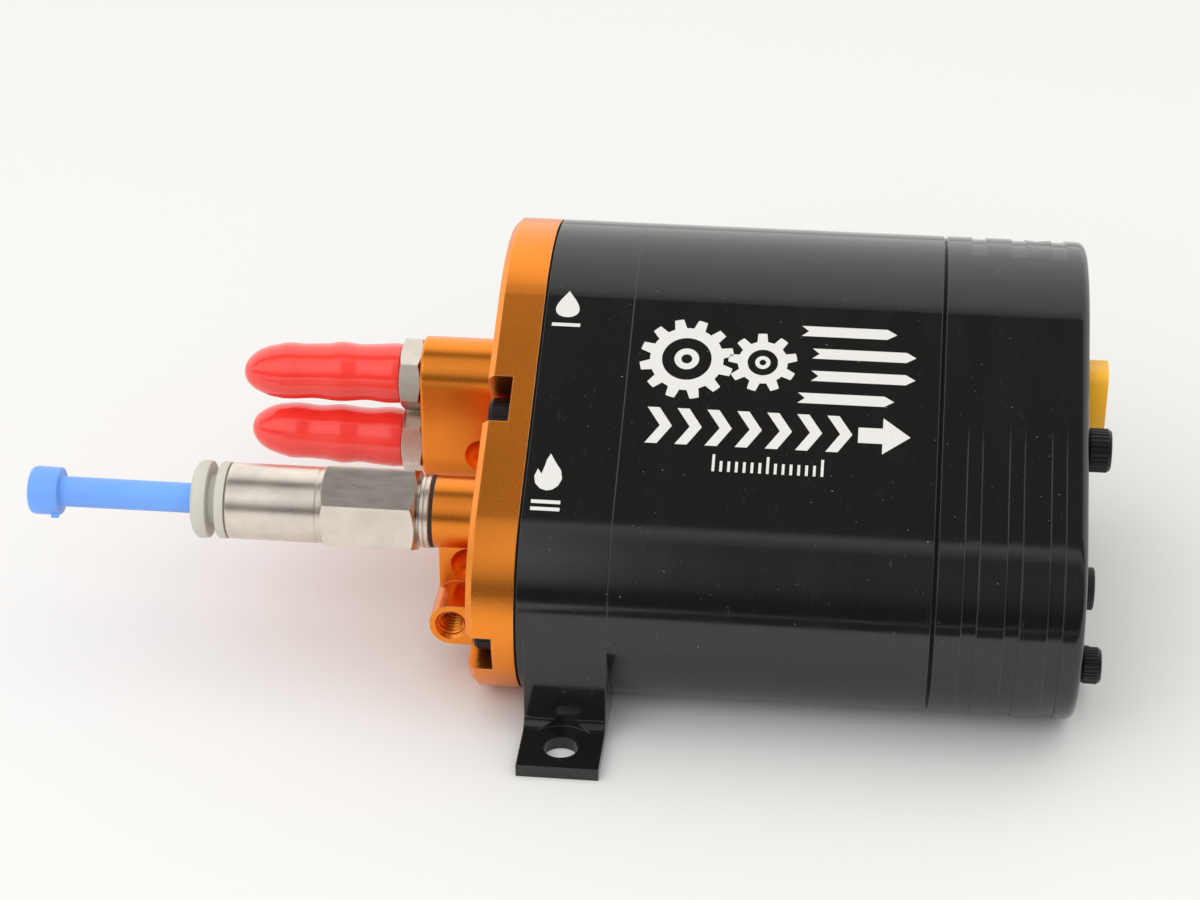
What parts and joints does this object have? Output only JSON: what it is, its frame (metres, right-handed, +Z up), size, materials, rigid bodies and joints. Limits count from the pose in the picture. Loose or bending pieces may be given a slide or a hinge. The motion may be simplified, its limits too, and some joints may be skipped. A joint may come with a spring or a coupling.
{
  "type": "twin gear pump for a model jet turbine",
  "caption": "Lobed aluminium twin gear pump with brushless motors, two mounting feet, capped hose barbs, a push-in tube fitting and a rear power connector.",
  "frame": {"origin": "midway between the two foot holes, on the plane the feet stand on", "axes": "+X along the pump shafts towards the power connector, +Y across the body towards the fuel pump, +Z up"},
  "size_m": [0.1361, 0.087, 0.0462],
  "materials": {
    "orange_anodised": "satin anodised orange aluminium",
    "black_anodised": "polished black anodised aluminium",
    "black_steel": "black oxide steel",
    "gasket_rubber": "matt black fluoro rubber",
    "hard_steel": "ground hardened steel",
    "motor_aluminium": "turned aluminium",
    "motor_iron": "laminated electrical steel",
    "magnet_nickel": "nickel plated magnet",
    "copper": "enamelled copper",
    "board_green": "green solder mask",
    "chip_black": "moulded black plastic",
    "capacitor_sleeve": "dark blue sleeve",
    "brass": "gold plated brass",
    "yellow_nylon": "moulded amber nylon",
    "nickel_plate": "bright nickel plate",
    "red_vinyl": "dipped soft red vinyl",
    "white_plastic": "moulded off white plastic",
    "blue_nylon": "moulded blue nylon"
  },
  "bodies": {
    "pump_body": {"board_screws": "hard_steel", "board_standoffs": "brass", "bus_capacitors": "capacitor_sleeve", "control_chip": "chip_black", "controller_board": "board_green", "front_screws_m2_5": "black_steel", "front_screws_m3": "black_steel", "fuel_coils": "copper", "fuel_idler_pin": "hard_steel", "fuel_inlet_barb": "nickel_plate", "fuel_motor_bearings": "hard_steel", "fuel_motor_can": "motor_aluminium", "fuel_motor_end_bell": "motor_aluminium", "fuel_outlet_barb": "nickel_plate", "fuel_phase_leads": "copper", "fuel_shaft_seal": "gasket_rubber", "fuel_stator": "motor_iron", "main_housing": "black_anodised", "manifold_gasket": "gasket_rubber", "mount_ring": "black_anodised", "power_connector": "yellow_nylon", "power_contacts": "brass", "power_transistors": "chip_black", "pump_manifold": "orange_anodised", "rear_cap": "black_anodised", "rear_screws_m2_5": "black_steel", "rear_screws_m3": "black_steel", "signal_contacts": "brass", "signal_socket": "chip_black", "start_coils": "copper", "start_fitting_body": "nickel_plate", "start_fitting_ring": "white_plastic", "start_grab_ring": "hard_steel", "start_idler_pin": "hard_steel", "start_motor_bearings": "hard_steel", "start_motor_can": "motor_aluminium", "start_motor_end_bell": "motor_aluminium", "start_phase_leads": "copper", "start_port_seal": "gasket_rubber", "start_shaft_seal": "gasket_rubber", "start_stator": "motor_iron", "start_tube_seal": "gasket_rubber"},
    "fuel_rotor": {"fuel_shaft": "hard_steel", "fuel_drive_gear": "hard_steel", "fuel_rotor_magnet": "magnet_nickel"},
    "fuel_idler": {"fuel_idler_gear": "hard_steel"},
    "start_rotor": {"start_shaft": "hard_steel", "start_drive_gear": "hard_steel", "start_rotor_magnet": "magnet_nickel"},
    "start_idler": {"start_idler_gear": "hard_steel"},
    "outlet_cap": {"fuel_outlet_cap": "red_vinyl"},
    "inlet_cap": {"fuel_inlet_cap": "red_vinyl"},
    "release_collar": {"start_release_collar": "white_plastic"},
    "tube_plug": {"start_plug": "blue_nylon"}
  },
  "joints": [
    {"name": "fuel_rotor_spin", "type": "hinge", "parent": "pump_body", "child": "fuel_rotor", "pos_m": [0, 0.01165, 0.0231], "axis": [1, 0, 0], "continuous": true},
    {"name": "fuel_idler_spin", "type": "hinge", "parent": "pump_body", "child": "fuel_idler", "pos_m": [0, 0.00025, 0.0231], "axis": [1, 0, 0], "continuous": true},
    {"name": "start_rotor_spin", "type": "hinge", "parent": "pump_body", "child": "start_rotor", "pos_m": [0, -0.01985, 0.0149], "axis": [1, 0, 0], "continuous": true},
    {"name": "start_idler_spin", "type": "hinge", "parent": "pump_body", "child": "start_idler", "pos_m": [0, -0.01185, 0.0149], "axis": [1, 0, 0], "continuous": true},
    {"name": "outlet_cap_pull", "type": "slide", "parent": "pump_body", "child": "outlet_cap", "axis": [-1, 0, 0], "range_m": [0, 0.022]},
    {"name": "inlet_cap_pull", "type": "slide", "parent": "pump_body", "child": "inlet_cap", "axis": [-1, 0, 0], "range_m": [0, 0.022]},
    {"name": "release_collar_push", "type": "slide", "parent": "pump_body", "child": "release_collar", "axis": [1, 0, 0], "range_m": [0, 0.0008], "stiffness_N_per_m": 600},
    {"name": "tube_plug_pull", "type": "slide", "parent": "pump_body", "child": "tube_plug", "axis": [-1, 0, 0], "range_m": [0, 0.03]}
  ],
  "couplings": [
    {"joint": "fuel_idler_spin", "follows": "fuel_rotor_spin", "ratio": -1},
    {"joint": "start_idler_spin", "follows": "start_rotor_spin", "ratio": -1}
  ]
}
